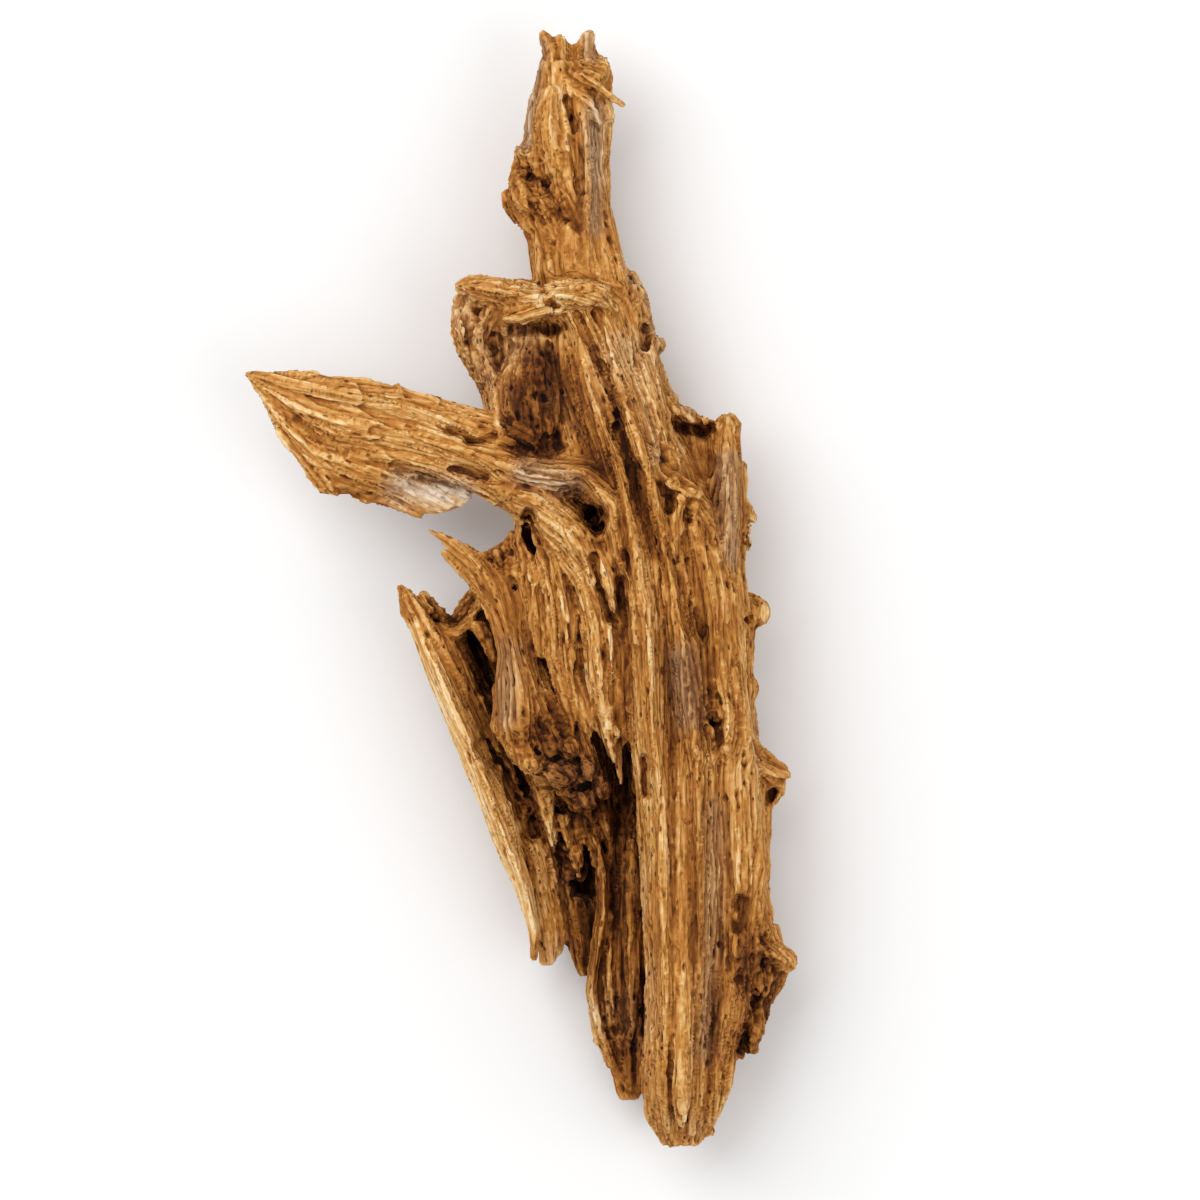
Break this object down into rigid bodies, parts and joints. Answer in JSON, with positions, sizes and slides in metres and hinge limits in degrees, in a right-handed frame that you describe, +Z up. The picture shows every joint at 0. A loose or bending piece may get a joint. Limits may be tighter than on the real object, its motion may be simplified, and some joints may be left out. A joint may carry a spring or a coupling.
{
  "type": "piece of driftwood",
  "caption": "Long weathered piece of driftwood with a pointed side wing, a hooked crown, a hollow split side and a tapering foot, lying on its back.",
  "frame": {"origin": "middle of the bounding box's underside, on the surface that the wood lies on", "axes": "+Z up out of the weathered face, +Y along the stock from the broad foot to the thin broken top, +X to the right, so the pointed wing is on -X"},
  "size_m": [0.2776, 0.5606, 0.0946],
  "materials": {
    "wood": "dry, unfinished, weathered and fibrous, matt"
  },
  "bodies": {
    "root": {"driftwood": "wood"}
  },
  "joints": []
}
